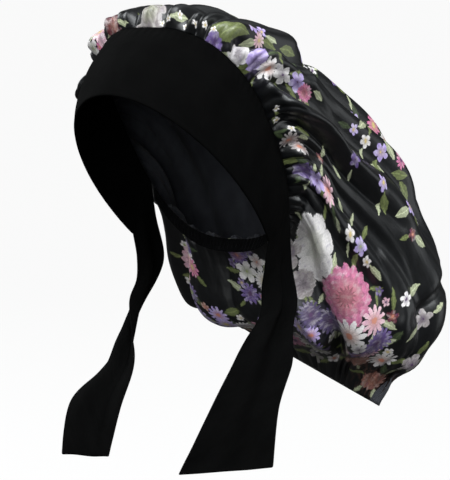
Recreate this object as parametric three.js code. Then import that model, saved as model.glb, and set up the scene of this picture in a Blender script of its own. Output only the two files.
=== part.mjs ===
// A long satin bonnet on a wide stretch band with two untied tie ends, in the shape it takes when worn.
// Millimetres, +Z up. The wearer faces -Y, so the wearer's left is +X. The origin is the crown of the head.
import * as THREE from "three";
import { mergeVertices } from "three/addons/utils/BufferGeometryUtils.js";

// Driving dimensions
const SATIN_WALL = 1.2;
const BAND_WALL = 2.0;
const TIE_WALL = 1.8;
const CASING_WALL = 3.0;
const SEAM_GAP = 0.3; // between the edges of pieces that are sewn together
const BAND_CROWN = 5; // how far the band's middle follows the round of the head
const BOTTOM_INSET = { height: 4, narrower: 0.95 }; // from the seam across the bag's bottom up to the hollow
const CASING_DROP = new THREE.Vector3(0, -5, -11); // from the casing's upper edge to its lower edge
const CASING_TAPER = 0.93; // how much narrower its lower edge is, as the neck is
const CASING_END_GAP = 4.5; // between the casing and the tie that comes off the band beside it
const TIE_RIPPLES = { across: 1.5, start: 1.2 }; // waves across a tie, and the first one's angle
const MITRE_LIMIT = 1.7; // the most that a rim is widened where the cloth leaves its seam at a slant

// The bag's opening lies in a leaning plane. In that plane "up" runs from the nape to the top of the
// forehead, and "out" is the plane's normal, towards the back of the head.
const OPENING = {
  centre: new THREE.Vector3(0, 22, -90),
  up: new THREE.Vector3(0, -0.557, 0.83).normalize(),
  out: new THREE.Vector3(0, 0.83, 0.557).normalize(),
  bow: 10, // how far the sides of the opening lie behind its top and bottom
  bowFade: 0.3, // where along the bag that has gone
};
// The band's free edge over the face is an ellipse in a second plane, cut across the first.
const FACE_EDGE = {
  halfWidth: 76,
  halfHeight: 122,
  middle: -30, // of the ellipse, along "up"
  outAtMiddle: -54.7, // of the plane where "up" is 0
  slope: -0.21, // of the plane, "out" for each millimetre "up"
};
const BAND_END = { seamUp: -60, faceUp: -78 }; // where the band stops behind the ears

// Resolution
const AROUND = 108; // columns of the bag
const BAG_ROWS = 20;
const BAND_ROWS = 4;
const TIE_ROWS = 16;
const TIE_COLUMNS = 8;
const RING_SAMPLES = 720;
const ROW_POWER = 1.15; // above 1, the bag's rows lie closer together by the band

// The bag's rings, from its seam on the band to the seam across its bottom. Each runs from an outer point
// on the bag's back to an inner point by the neck and is halfWidth wide to each side of shift. Roundness is
// a superellipse power, 2 for an ellipse. The wearer's left side hangs lower than the middle by lean.
const RINGS = [
  { at: 0.0, outerY: -38, outerZ: -1, innerY: 82, innerZ: -180, halfWidth: 76, shift: 0, roundness: 2.6, lean: 0 },
  { at: 0.04, outerY: -35, outerZ: 13, innerY: 87, innerZ: -181, halfWidth: 89, shift: 0, roundness: 2.5, lean: 0 },
  { at: 0.1, outerY: -12, outerZ: 16, innerY: 93, innerZ: -185, halfWidth: 93, shift: 0, roundness: 2.4, lean: 0 },
  { at: 0.2, outerY: 42, outerZ: 9, innerY: 99, innerZ: -196, halfWidth: 96, shift: 3, roundness: 2.3, lean: 5 },
  { at: 0.3, outerY: 89, outerZ: -9, innerY: 102, innerZ: -211, halfWidth: 99, shift: 4, roundness: 2.3, lean: 12 },
  { at: 0.4, outerY: 135, outerZ: -34, innerY: 104, innerZ: -228, halfWidth: 105, shift: 6, roundness: 2.3, lean: 11 },
  { at: 0.5, outerY: 179, outerZ: -67, innerY: 106, innerZ: -243, halfWidth: 113, shift: 9, roundness: 2.4, lean: 7 },
  { at: 0.6, outerY: 213, outerZ: -111, innerY: 111, innerZ: -256, halfWidth: 119, shift: 13, roundness: 2.4, lean: 7 },
  { at: 0.7, outerY: 231, outerZ: -167, innerY: 121, innerZ: -264, halfWidth: 123, shift: 16, roundness: 2.4, lean: 10 },
  { at: 0.8, outerY: 228, outerZ: -223, innerY: 138, innerZ: -267, halfWidth: 120, shift: 16, roundness: 2.4, lean: 17 },
  { at: 0.88, outerY: 210, outerZ: -264, innerY: 154, innerZ: -275, halfWidth: 109, shift: 15, roundness: 2.3, lean: 20 },
  { at: 0.95, outerY: 190, outerZ: -288, innerY: 170, innerZ: -285, halfWidth: 91, shift: 14, roundness: 2.2, lean: 24 },
  { at: 1.0, outerY: 180, outerZ: -300, innerY: 180, innerZ: -300, halfWidth: 75, shift: 14, roundness: 2, lean: 30 },
];

// The fine puckers along the seam
const GATHERS = { count: 27, height: 3.2, rise: 0.03, fade: 0.16 };
const SEAM_LENGTH = 0.1; // along the bag, where the cloth turns from the opening's plane to its own normals

// Puffs and long drape folds. "at" is the place round the ring, 0 at the top, 0.25 on the wearer's left and
// 0.5 at the nape; "drift" is how far the fold wanders by the bottom. It begins at "from", has its height
// after "rise" and is gone at "to", over FOLD_FADE. A negative height is a valley.
const FOLDS = [
  { at: 0.02, drift: 0.02, width: 0.03, from: 0.02, rise: 0.1, to: 0.6, height: 4 },
  { at: 0.065, drift: 0.03, width: 0.018, from: 0.02, rise: 0.08, to: 0.7, height: -5 },
  { at: 0.1, drift: 0.02, width: 0.02, from: 0, rise: 0.08, to: 0.7, height: 7 },
  { at: 0.13, drift: 0.02, width: 0.016, from: 0.01, rise: 0.08, to: 0.75, height: -9 },
  { at: 0.155, drift: 0.03, width: 0.018, from: 0, rise: 0.08, to: 0.8, height: 8 },
  { at: 0.185, drift: 0.02, width: 0.015, from: 0.02, rise: 0.08, to: 0.7, height: -7 },
  { at: 0.23, drift: 0.01, width: 0.028, from: 0.02, rise: 0.1, to: 0.95, height: 8 },
  { at: 0.285, drift: -0.01, width: 0.016, from: 0.03, rise: 0.15, to: 0.95, height: -8 },
  { at: 0.31, drift: 0, width: 0.016, from: 0.02, rise: 0.1, to: 0.9, height: 5 },
  { at: 0.335, drift: -0.01, width: 0.014, from: 0.04, rise: 0.12, to: 0.85, height: -6 },
  { at: 0.355, drift: 0.02, width: 0.022, from: 0.04, rise: 0.12, to: 0.95, height: 8 },
  { at: 0.4, drift: 0, width: 0.014, from: 0.08, rise: 0.15, to: 0.97, height: -10 },
  { at: 0.43, drift: 0, width: 0.018, from: 0.08, rise: 0.15, to: 0.95, height: 6 },
  { at: 0.5, drift: 0, width: 0.03, from: 0.15, rise: 0.2, to: 0.9, height: -5 },
  { at: 0.58, drift: 0.01, width: 0.022, from: 0.08, rise: 0.15, to: 0.95, height: 6 },
  { at: 0.625, drift: 0.01, width: 0.016, from: 0.08, rise: 0.15, to: 0.95, height: -8 },
  { at: 0.66, drift: 0, width: 0.02, from: 0.03, rise: 0.15, to: 0.9, height: 7 },
  { at: 0.705, drift: 0.02, width: 0.016, from: 0.03, rise: 0.15, to: 0.9, height: -7 },
  { at: 0.745, drift: 0.01, width: 0.022, from: 0.02, rise: 0.1, to: 0.95, height: 7 },
  { at: 0.8, drift: 0, width: 0.026, from: 0, rise: 0.05, to: 0.4, height: 8 },
  { at: 0.79, drift: 0.01, width: 0.016, from: 0.2, rise: 0.2, to: 0.9, height: -8 },
  { at: 0.845, drift: 0, width: 0.012, from: 0, rise: 0.06, to: 0.5, height: -6 },
  { at: 0.875, drift: -0.01, width: 0.02, from: 0, rise: 0.05, to: 0.8, height: 7 },
  { at: 0.915, drift: -0.01, width: 0.016, from: 0.01, rise: 0.08, to: 0.7, height: -6 },
  { at: 0.955, drift: 0, width: 0.02, from: 0, rise: 0.08, to: 0.6, height: 4 },
];

const FOLD_FADE = 0.2;

// Puffs beside the seam that overhang the band: how high each stands and how far it reaches forward
const PUFFS = [
  { at: 0.805, width: 0.028, height: 9, forward: 20 },
  { at: 0.87, width: 0.018, height: 3, forward: 6 },
  { at: 0.215, width: 0.03, height: 2, forward: 4 },
];
const PUFF_LENGTH = { from: 0.02, full: 0.075, fading: 0.1, to: 0.25 }; // along the bag from its seam

// The ties' sections below the band's ends. "front" is the edge that goes on from the band's free edge,
// "back" the one that goes on from the seam, and "wave" the depth of the ripples across the tie.
const LEFT_TIE = [
  { front: [67, 35, -194], back: [70, 65, -162], wave: 1 },
  { front: [64, 38, -213], back: [66, 72, -198], wave: 2.5 },
  { front: [67, 32, -231], back: [73, 69, -228], wave: 4 },
  { front: [75, 0, -249], back: [84, 46, -250], wave: 4 },
  { front: [75, -33, -279], back: [98, 26, -273], wave: 3 },
  { front: [67, -57, -318], back: [106, -5, -305], wave: 2.5 },
  { front: [56, -73, -354], back: [112, -22, -350], wave: 2 },
];
const RIGHT_TIE = [
  { front: [-66, 35, -194], back: [-70, 65, -162], wave: 1 },
  { front: [-60, 28, -213], back: [-65, 68, -200], wave: 2.5 },
  { front: [-50, 8, -232], back: [-66, 42, -228], wave: 4 },
  { front: [-36, -8, -256], back: [-56, 0, -256], wave: 4 },
  { front: [-24, -24, -280], back: [-54, -36, -284], wave: 3 },
  { front: [-17, -52, -312], back: [-60, -66, -306], wave: 3 },
  { front: [-15, -70, -348], back: [-56, -82, -348], wave: 2 },
];

const COLOURS = { satin: 0x15151a, jersey: 0x0b0b0c, casing: 0x111114 };

function smoothStep(low, high, x) {
  const t = Math.min(1, Math.max(0, (x - low) / (high - low)));
  return t * t * (3 - 2 * t);
}

// A signed power, which squares up a circle's cosine and sine.
function squared(x, roundness) {
  return Math.sign(x) * Math.abs(x) ** (2 / roundness);
}

// A smooth curve through p1 and p2, with p0 and p3 as their neighbours (Catmull-Rom).
function spline([p0, p1, p2, p3], t) {
  const slope1 = (p2 - p0) / 2;
  const slope2 = (p3 - p1) / 2;
  const cubic = 2 * p1 - 2 * p2 + slope1 + slope2;
  const square = -3 * p1 + 3 * p2 - 2 * slope1 - slope2;
  return ((cubic * t + square) * t + slope1) * t + p1;
}

// The four rows of a table that a spline between rows i and i + 1 needs.
function rowsAbout(table, i) {
  return [i - 1, i, i + 1, i + 2].map((k) => table[Math.min(table.length - 1, Math.max(0, k))]);
}

function ringAt(v) {
  let i = 0;
  while (i < RINGS.length - 2 && RINGS[i + 1].at < v) i++;
  const t = (v - RINGS[i].at) / (RINGS[i + 1].at - RINGS[i].at);
  const four = rowsAbout(RINGS, i);
  const ring = {};
  for (const column of Object.keys(RINGS[0])) {
    const values = four.map((row) => row[column]);
    ring[column] = spline(values, t);
  }
  return ring;
}

// The point or normal at a share of the way along a list of evenly spaced ones.
function between(list, share) {
  const place = share * (list.length - 1);
  const i = Math.min(list.length - 2, Math.floor(place));
  return list[i].clone().lerp(list[i + 1], place - i);
}

// Points spread evenly along a polyline.
function spreadEvenly(points, count) {
  const along = [0];
  for (let i = 1; i < points.length; i++) along.push(along[i - 1] + points[i].distanceTo(points[i - 1]));
  const total = along[along.length - 1];
  const spread = [];
  let i = 1;
  for (let k = 0; k < count; k++) {
    const want = (total * k) / (count - 1);
    while (i < points.length - 1 && along[i] < want) i++;
    const t = (want - along[i - 1]) / (along[i] - along[i - 1]);
    spread.push(points[i - 1].clone().lerp(points[i], t));
  }
  return spread;
}

// One ring of the bag, from its top round by the wearer's left and back, without folds.
function bareRing(v) {
  const ring = ringAt(v);
  const bow = OPENING.bow * (1 - smoothStep(0, OPENING.bowFade, v));
  const outer = new THREE.Vector3(ring.shift, ring.outerY, ring.outerZ);
  const inner = new THREE.Vector3(ring.shift, ring.innerY, ring.innerZ);
  const centre = outer.clone().add(inner).multiplyScalar(0.5);
  const half = outer.clone().sub(inner).multiplyScalar(0.5);
  const points = [];
  for (let k = 0; k <= RING_SAMPLES; k++) {
    const angle = (2 * Math.PI * k) / RING_SAMPLES;
    const side = squared(Math.sin(angle), ring.roundness);
    const point = centre.clone().addScaledVector(half, squared(Math.cos(angle), ring.roundness));
    point.x += ring.halfWidth * side;
    point.z -= ring.lean * side;
    points.push(point.addScaledVector(OPENING.out, bow * Math.sin(angle) ** 2));
  }
  return spreadEvenly(points, AROUND + 1).slice(0, AROUND);
}

// How far the cloth stands off the bare ring at the share "round" of the way round it.
function foldHeight(round, v) {
  const gatherSize = smoothStep(0, GATHERS.rise, v) * Math.exp(-v / GATHERS.fade);
  let height = GATHERS.height * gatherSize * Math.cos(2 * Math.PI * GATHERS.count * round);
  for (const fold of FOLDS) {
    const middle = fold.at + fold.drift * v;
    const away = round - middle - Math.round(round - middle);
    const begun = smoothStep(fold.from, fold.from + fold.rise, v);
    const left = 1 - smoothStep(fold.to - FOLD_FADE, fold.to, v);
    height += fold.height * begun * left * Math.exp(-((away / fold.width) ** 2));
  }
  return height;
}

// Moves one point of a bare ring to where the folded cloth is. Beside the seam the folds stand in the
// opening's plane, so that the cloth stays clear of the band.
function foldedPoint(point, normal, round, v) {
  const planar = normal.clone().addScaledVector(OPENING.out, -normal.dot(OPENING.out)).normalize();
  const direction = planar.lerp(normal, smoothStep(0, SEAM_LENGTH, v)).normalize();
  const folded = point.clone().addScaledVector(direction, foldHeight(round, v));
  const begun = smoothStep(PUFF_LENGTH.from, PUFF_LENGTH.full, v);
  const left = 1 - smoothStep(PUFF_LENGTH.fading, PUFF_LENGTH.to, v);
  for (const puff of PUFFS) {
    const size = begun * left * Math.exp(-(((round - puff.at) / puff.width) ** 2));
    folded.addScaledVector(direction, puff.height * size).addScaledVector(OPENING.out, -puff.forward * size);
  }
  return folded;
}

// Unit normals of a grid of points, each the cross product of its column and row directions.
function normalsOf(grid, closed) {
  const rows = grid.length;
  const columns = grid[0].length;
  return grid.map((row, i) =>
    row.map((_, j) => {
      const above = grid[Math.max(0, i - 1)][j];
      const below = grid[Math.min(rows - 1, i + 1)][j];
      const before = closed ? row[(j + columns - 1) % columns] : row[Math.max(0, j - 1)];
      const after = closed ? row[(j + 1) % columns] : row[Math.min(columns - 1, j + 1)];
      return new THREE.Vector3().crossVectors(after.clone().sub(before), below.clone().sub(above)).normalize();
    }),
  );
}

// A normal turned into the opening's plane, so that the rims of sewn pieces lie face to face. It is
// lengthened where the cloth leaves the seam at a slant, which keeps the wall's thickness.
function inOpeningPlane(normal) {
  const flat = normal.clone().addScaledVector(OPENING.out, -normal.dot(OPENING.out));
  return flat.setLength(Math.min(MITRE_LIMIT, 1 / flat.length()));
}

function offsetGrid(grid, normals, distance) {
  return grid.map((row, i) => row.map((point, j) => point.clone().addScaledVector(normals[i][j], distance)));
}

// A closed solid from two grids of one size, the outer one facing out. Edges that aren't closed get a rim.
function solidBetween(outer, inner, { closed = false, lastRowShut = false } = {}) {
  const rows = outer.length;
  const columns = outer[0].length;
  const corners = [];
  const quad = (a, b, c, d) => corners.push(a, b, c, a, c, d);
  const lastColumn = closed ? columns : columns - 1;
  const next = (j) => (j + 1) % columns;
  for (let i = 0; i < rows - 1; i++)
    for (let j = 0; j < lastColumn; j++) {
      quad(outer[i][j], outer[i][next(j)], outer[i + 1][next(j)], outer[i + 1][j]);
      quad(inner[i][j], inner[i + 1][j], inner[i + 1][next(j)], inner[i][next(j)]);
    }
  for (let j = 0; j < lastColumn; j++) {
    quad(outer[0][j], inner[0][j], inner[0][next(j)], outer[0][next(j)]);
    if (!lastRowShut)
      quad(outer[rows - 1][next(j)], inner[rows - 1][next(j)], inner[rows - 1][j], outer[rows - 1][j]);
  }
  if (!closed)
    for (let i = 0; i < rows - 1; i++) {
      quad(outer[i + 1][0], inner[i + 1][0], inner[i][0], outer[i][0]);
      quad(outer[i][columns - 1], inner[i][columns - 1], inner[i + 1][columns - 1], outer[i + 1][columns - 1]);
    }
  const merged = mergeVertices(new THREE.BufferGeometry().setFromPoints(corners), 1e-3);
  merged.setIndex(wholeTriangles(merged.index.array));
  merged.computeVertexNormals();
  return merged;
}

// Leaves out the triangles that merging has made flat.
function wholeTriangles(index) {
  const kept = [];
  for (let k = 0; k < index.length; k += 3) {
    const [a, b, c] = [index[k], index[k + 1], index[k + 2]];
    if (a !== b && b !== c && c !== a) kept.push(a, b, c);
  }
  return kept;
}

function wallAbout(grid, normals, wall, shape) {
  return solidBetween(offsetGrid(grid, normals, wall / 2), offsetGrid(grid, normals, -wall / 2), shape);
}

function clothMesh(name, geometry, colour, roughness) {
  const mesh = new THREE.Mesh(geometry, new THREE.MeshStandardMaterial({ color: colour, roughness, metalness: 0 }));
  mesh.name = name;
  return mesh;
}

// The satin bag: rings with folds, shut along a straight seam at the bottom
function satinBag() {
  const shares = Array.from({ length: BAG_ROWS + 1 }, (_, i) => (i / BAG_ROWS) ** ROW_POWER);
  const bare = shares.map((v) => bareRing(v));
  bare[0].forEach((point) => point.addScaledVector(OPENING.out, SEAM_GAP));
  const bareNormals = normalsOf(bare, true);
  const folded = bare.map((row, i) =>
    row.map((point, j) => foldedPoint(point, bareNormals[i][j], j / AROUND, shares[i])),
  );
  const normals = normalsOf(folded, true);
  normals[0] = normals[0].map(inOpeningPlane);
  const outer = offsetGrid(folded, normals, SATIN_WALL / 2);
  const inner = offsetGrid(folded, normals, -SATIN_WALL / 2);
  shutBottom(bare[BAG_ROWS], outer[BAG_ROWS], inner[BAG_ROWS]);
  return solidBetween(outer, inner, { closed: true, lastRowShut: true });
}

// The front and back of the bag's last ring meet on one line, and the hollow stops a little above it.
function shutBottom(bottom, outerRow, innerRow) {
  const shareAboveBottom = 0.97;
  const end = ringAt(1);
  const above = ringAt(shareAboveBottom);
  const inward = new THREE.Vector3(0, (above.outerY + above.innerY) / 2, (above.outerZ + above.innerZ) / 2)
    .sub(new THREE.Vector3(0, end.outerY, end.outerZ))
    .setLength(BOTTOM_INSET.height);
  bottom.forEach((point, j) => {
    const opposite = bottom[(AROUND * 1.5 - j) % AROUND];
    const seam = point.clone().add(opposite).multiplyScalar(0.5);
    outerRow[j] = seam;
    innerRow[j] = seam.clone().add(inward);
    innerRow[j].x = end.shift + (seam.x - end.shift) * BOTTOM_INSET.narrower;
  });
}

function fromOpening(side, up, out) {
  const point = OPENING.centre.clone().addScaledVector(OPENING.up, up).addScaledVector(OPENING.out, out);
  point.x += side;
  return point;
}

// The columns of the bag's first ring that the band carries, to each side of its top
function bandColumns(ring) {
  const upOf = (point) => point.clone().sub(OPENING.centre).dot(OPENING.up);
  let j = 0;
  while (upOf(ring[j + 1]) > BAND_END.seamUp) j++;
  return j;
}

// The band's free edge from one end to the other, with as many points as its seam edge
function faceEdge(count) {
  const endAngle = Math.acos((BAND_END.faceUp - FACE_EDGE.middle) / FACE_EDGE.halfHeight);
  const points = [];
  for (let k = 0; k <= RING_SAMPLES; k++) {
    const angle = endAngle * ((2 * k) / RING_SAMPLES - 1);
    const up = FACE_EDGE.middle + FACE_EDGE.halfHeight * Math.cos(angle);
    const out = FACE_EDGE.outAtMiddle + FACE_EDGE.slope * up;
    points.push(fromOpening(FACE_EDGE.halfWidth * Math.sin(angle), up, out));
  }
  return spreadEvenly(points, count);
}

// The headband's mid-surface: rows from the free edge over the face to the bag's seam
function bandSurface() {
  const ring = bareRing(0);
  const ends = bandColumns(ring);
  const seam = [];
  for (let j = -ends; j <= ends; j++) seam.push(ring[(j + AROUND) % AROUND]);
  const face = faceEdge(seam.length);
  const flat = [];
  for (let i = 0; i <= BAND_ROWS; i++) flat.push(face.map((point, j) => point.clone().lerp(seam[j], i / BAND_ROWS)));
  const flatNormals = normalsOf(flat, false);
  const rows = flat.map((row, i) => {
    const bulge = BAND_CROWN * Math.sin((Math.PI * i) / BAND_ROWS);
    return row.map((point, j) => point.clone().addScaledVector(flatNormals[i][j], bulge));
  });
  const normals = normalsOf(rows, false);
  normals[BAND_ROWS] = normals[BAND_ROWS].map(inOpeningPlane);
  return { rows, normals };
}

// The elastic casing that closes the opening across the nape, between the band's two ends
function napeCasing() {
  const ring = bareRing(0);
  const ends = bandColumns(ring);
  const upper = spreadEvenly(ring.slice(ends, AROUND - ends + 1), AROUND - 2 * ends + 1);
  const inset = (from, to) => from.add(to.clone().sub(from).setLength(CASING_END_GAP));
  inset(upper[0], upper[1]);
  inset(upper[upper.length - 1], upper[upper.length - 2]);
  const narrower = new THREE.Vector3(CASING_TAPER, 1, 1);
  const lower = upper.map((point) => point.clone().multiply(narrower).add(CASING_DROP));
  const rows = [upper, lower];
  const normals = normalsOf(rows, false);
  normals[0] = normals[0].map(inOpeningPlane);
  return wallAbout(rows, normals, CASING_WALL);
}

// A tie: a rippled strip that goes on from one end of the band and lies over the shoulder to the chest
function tie(table, end) {
  const shares = Array.from({ length: TIE_COLUMNS + 1 }, (_, j) => j / TIE_COLUMNS);
  const start = shares.map((share) => between(end.points, share));
  const [front, back] = [start[0], start[TIE_COLUMNS]];
  const sections = [{ front: front.toArray(), back: back.toArray(), wave: 0 }, ...table];
  const rows = [];
  const waves = [];
  for (let i = 0; i <= TIE_ROWS; i++) {
    const place = (i / TIE_ROWS) * (sections.length - 1);
    const k = Math.min(sections.length - 2, Math.floor(place));
    const four = rowsAbout(sections, k);
    const at = (edge, c) => spline(four.map((section) => section[edge][c]), place - k);
    const frontPoint = new THREE.Vector3(at("front", 0), at("front", 1), at("front", 2));
    const backPoint = new THREE.Vector3(at("back", 0), at("back", 1), at("back", 2));
    const startShare = 1 - smoothStep(0, 1, place);
    waves.push(spline(four.map((s) => s.wave), place - k));
    rows.push(
      start.map((point, j) => {
        const crown = point.clone().sub(front.clone().lerp(back, shares[j]));
        return frontPoint.clone().lerp(backPoint, shares[j]).addScaledVector(crown, startShare);
      }),
    );
  }
  const flatNormals = normalsOf(rows, false);
  const rippled = rows.map((row, i) =>
    row.map((point, j) => {
      const angle = 2 * Math.PI * TIE_RIPPLES.across * shares[j] + TIE_RIPPLES.start;
      return point.clone().addScaledVector(flatNormals[i][j], waves[i] * Math.sin(angle));
    }),
  );
  const normals = normalsOf(rippled, false);
  const facing = Math.sign(normals[0][0].dot(end.normals[0]));
  normals[0] = shares.map((share) => between(end.normals, share).normalize().multiplyScalar(facing));
  rippled[0].forEach((point, j) => {
    const away = new THREE.Vector3().crossVectors(back.clone().sub(front), normals[0][j]);
    away.multiplyScalar(Math.sign(away.dot(rippled[1][j].clone().sub(point))));
    point.add(away.setLength(SEAM_GAP));
  });
  return wallAbout(rippled, normals, TIE_WALL);
}

// The end of the band at one of its columns: points and normals from the free edge to the seam
function bandEnd(band, column) {
  return { points: band.rows.map((row) => row.at(column)), normals: band.normals.map((row) => row.at(column)) };
}

const band = bandSurface();

const bonnet = new THREE.Group();
bonnet.add(clothMesh("satin_bag", satinBag(), COLOURS.satin, 0.35));
bonnet.add(clothMesh("headband", wallAbout(band.rows, band.normals, BAND_WALL), COLOURS.jersey, 0.9));
bonnet.add(clothMesh("nape_casing", napeCasing(), COLOURS.casing, 0.45));
bonnet.add(clothMesh("tie_left", tie(LEFT_TIE, bandEnd(band, -1)), COLOURS.jersey, 0.9));
bonnet.add(clothMesh("tie_right", tie(RIGHT_TIE, bandEnd(band, 0)), COLOURS.jersey, 0.9));

export default bonnet;
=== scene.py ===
import math
from types import SimpleNamespace as Named

import bpy
import numpy as np
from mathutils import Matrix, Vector


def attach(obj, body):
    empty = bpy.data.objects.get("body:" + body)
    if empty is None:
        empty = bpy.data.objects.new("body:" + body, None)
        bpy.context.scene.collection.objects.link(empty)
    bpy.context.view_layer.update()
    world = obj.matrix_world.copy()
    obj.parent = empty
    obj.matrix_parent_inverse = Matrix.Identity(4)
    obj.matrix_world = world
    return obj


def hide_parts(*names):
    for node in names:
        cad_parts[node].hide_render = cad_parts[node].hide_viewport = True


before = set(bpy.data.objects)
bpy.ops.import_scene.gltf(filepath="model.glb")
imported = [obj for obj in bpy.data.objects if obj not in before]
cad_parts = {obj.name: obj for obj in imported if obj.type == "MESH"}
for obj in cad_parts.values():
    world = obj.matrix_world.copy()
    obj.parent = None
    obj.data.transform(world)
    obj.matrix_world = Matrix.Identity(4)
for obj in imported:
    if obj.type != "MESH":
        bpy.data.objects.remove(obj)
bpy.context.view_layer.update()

MM = 0.001
TURN = 2 * np.pi
PHOTO = (450, 480)  # pixels, width and height

# The camera of the photograph, its angles in degrees
CAMERA = Named(azimuth=35, elevation=5, distance=1.7)
TARGET = Vector((0.0423, 0.0110, -0.1739))
PIXELS_PER_METRE = 1220  # at the target
FLOOR_HEIGHT = -0.62

# Cloth walls and small forms, with lengths in millimetres
SATIN_WALL = 1.2
BAND_WALL = 2.0
TIE_WALL = 1.8
CASING_WALL = 3.0
SEAM_GAP = 0.3
TIE_LAP = 1.5
BAND_CROWN = 5
CASING_DROP = np.array([0, -5, -11])
CASING_TAPER = 0.93
CASING_END_GAP = 4.5
CASING_RIBS = Named(count=46, height=0.55, room=1.1, uneven=0.8, turns=7)
SEAM_PUCKERS = Named(count=62, height=0.5)
TIE_RIPPLES = Named(across=1.5, start=1.2)
TIE_HEM = Named(begin=0.93, full=0.945, height=0.5)

# Shallow waves of the jersey: their lengths across and along the cloth and their heights, in millimetres
BAND_WAVES = [(70, 210, 0.5), (31, -260, 0.25)]
TIE_WAVES = [(46, 260, 0.9), (23, -150, 0.45), (90, 60, 0.35)]
WAVE_BEND = Named(size=0.6, length=90)
BAND_SEED = 3

# The opening's leaning plane, with "up" from the nape to the top of the forehead and "out" to the back
OPENING_CENTRE = np.array([0, 22, -90])
OPENING_BOW = 10
FACE_EDGE = Named(half_width=76, half_height=122, middle=-30, out_at_middle=-54.7, slope=-0.21)
BAND_END = Named(seam_up=-60, face_up=-78)


def rows_of(columns, rows):
    """A table's rows with names for their columns."""
    return [Named(**dict(zip(columns.split(), row))) for row in rows]


def unit(vector):
    return vector / np.maximum(np.linalg.norm(vector, axis=-1, keepdims=True), 1e-9)


OPENING_UP = unit(np.array([0, -0.557, 0.83]))
OPENING_OUT = unit(np.array([0, 0.83, 0.557]))

# The bag's rings from the seam on the band to the seam across the bottom, as in the CAD model
RING_COLUMNS = "at outer_y outer_z inner_y inner_z half_width shift roundness lean"
RINGS = np.array([
    (0.0, -38, -1, 82, -180, 76, 0, 2.6, 0),
    (0.04, -35, 13, 87, -181, 89, 0, 2.5, 0),
    (0.1, -12, 16, 93, -185, 93, 0, 2.4, 0),
    (0.2, 42, 9, 99, -196, 96, 3, 2.3, 5),
    (0.3, 89, -9, 102, -211, 99, 4, 2.3, 12),
    (0.4, 135, -34, 104, -228, 105, 6, 2.3, 11),
    (0.5, 179, -67, 106, -243, 113, 9, 2.4, 7),
    (0.6, 213, -111, 111, -256, 119, 13, 2.4, 7),
    (0.7, 231, -167, 121, -264, 123, 16, 2.4, 10),
    (0.8, 228, -223, 138, -267, 120, 16, 2.4, 17),
    (0.88, 210, -264, 154, -275, 109, 15, 2.3, 20),
    (0.95, 190, -288, 170, -285, 91, 14, 2.2, 24),
    (1.0, 180, -300, 180, -300, 75, 14, 2, 30),
])
GATHERS = Named(count=27, height=3.2, rise=0.03, fade=0.16)
PUCKERS = Named(count=64, height=2.8, rise=0.015, fade=0.11, slant=1.5)
BOTTOM_GATHERS = Named(count=29, height=1.6, begin=0.78, full=0.94)
SEAM_END = 0.97  # from here on the puckers and creases die away into the bottom seam

# Waves round the bag that set the puckers unevenly apart: turns, phase and size
JITTER_WAVES = [(5, 1, 0.5), (13, 0, 0.35)]
PUCKER_SPREAD = 0.45  # how much the puckers' height varies round the bag

# Fine creases, each drawn at random between these ends
CREASES = Named(
    seed=7,
    count=40,
    drift=(-0.06, 0.06),
    bend=(0, 0.012),
    width=(0.009, 0.02),
    height=(0.3, 1.2),
    begin=(-0.15, 0.75),
    length=(0.2, 0.6),
)

# Long folds: where round the ring, how far they wander, their width, where along the bag they begin, how
# soon they are full, where they end, and their height in millimetres
FOLDS = rows_of("at drift width begin rise end height", [
    (0.02, 0.02, 0.03, 0.02, 0.1, 0.6, 4),
    (0.065, 0.03, 0.018, 0.02, 0.08, 0.7, -5),
    (0.1, 0.02, 0.02, 0, 0.08, 0.7, 7),
    (0.13, 0.02, 0.016, 0.01, 0.08, 0.75, -9),
    (0.155, 0.03, 0.018, 0, 0.08, 0.8, 8),
    (0.185, 0.02, 0.015, 0.02, 0.08, 0.7, -7),
    (0.23, 0.01, 0.028, 0.02, 0.1, 0.95, 8),
    (0.285, -0.01, 0.016, 0.03, 0.15, 0.95, -8),
    (0.31, 0, 0.016, 0.02, 0.1, 0.9, 5),
    (0.335, -0.01, 0.014, 0.04, 0.12, 0.85, -6),
    (0.355, 0.02, 0.022, 0.04, 0.12, 0.95, 8),
    (0.4, 0, 0.014, 0.08, 0.15, 0.97, -10),
    (0.43, 0, 0.018, 0.08, 0.15, 0.95, 6),
    (0.5, 0, 0.03, 0.15, 0.2, 0.9, -5),
    (0.58, 0.01, 0.022, 0.08, 0.15, 0.95, 6),
    (0.625, 0.01, 0.016, 0.08, 0.15, 0.95, -8),
    (0.66, 0, 0.02, 0.03, 0.15, 0.9, 7),
    (0.705, 0.02, 0.016, 0.03, 0.15, 0.9, -7),
    (0.745, 0.01, 0.022, 0.02, 0.1, 0.95, 7),
    (0.8, 0, 0.026, 0, 0.05, 0.4, 8),
    (0.79, 0.01, 0.016, 0.2, 0.2, 0.9, -8),
    (0.845, 0, 0.012, 0, 0.06, 0.5, -6),
    (0.875, -0.01, 0.02, 0, 0.05, 0.8, 7),
    (0.915, -0.01, 0.016, 0.01, 0.08, 0.7, -6),
    (0.955, 0, 0.02, 0, 0.08, 0.6, 4),
])

# Puffs at the temples: where round the ring, their width, and in millimetres their height and reach forward
PUFFS = rows_of("at width height forward", [
    (0.805, 0.028, 9, 20),
    (0.87, 0.018, 3, 6),
    (0.215, 0.03, 2, 4),
])
PUFF_LENGTH = Named(begin=0.02, full=0.075, fading=0.1, end=0.25)

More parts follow.
